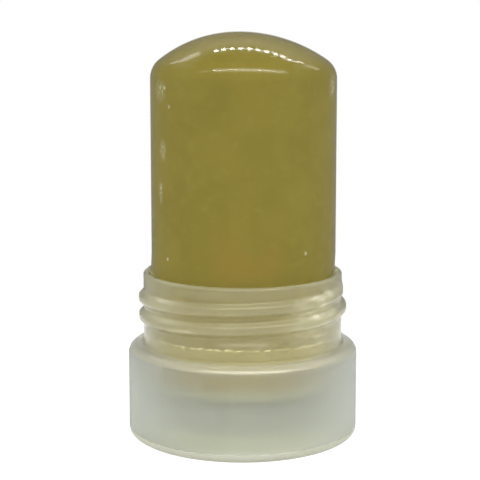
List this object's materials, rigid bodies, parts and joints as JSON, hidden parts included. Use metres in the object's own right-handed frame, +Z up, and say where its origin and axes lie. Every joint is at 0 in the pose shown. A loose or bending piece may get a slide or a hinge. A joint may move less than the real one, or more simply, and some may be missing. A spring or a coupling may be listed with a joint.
{
  "type": "alum deodorant stick",
  "caption": "Domed olive alum block bonded in a frosted base cup with a screw-threaded neck, a rounded shoulder and a skirt closed by a pressed-in disc; shown without its cap.",
  "frame": {"origin": "middle of the flat underside of the base disc, on the surface that the stick stands on", "axes": "+Z up along the stick's axis, towards the dome; -Y is the side that the picture shows, +X is its right"},
  "size_m": [0.0374, 0.0374, 0.0655],
  "materials": {
    "alum": "gloss",
    "adhesive": "satin",
    "frosted_pp": "satin",
    "disc_pp": "satin"
  },
  "bodies": {
    "root": {"alum_stick": "alum", "adhesive": "adhesive", "base_cup": "frosted_pp", "base_disc": "disc_pp"}
  },
  "joints": []
}
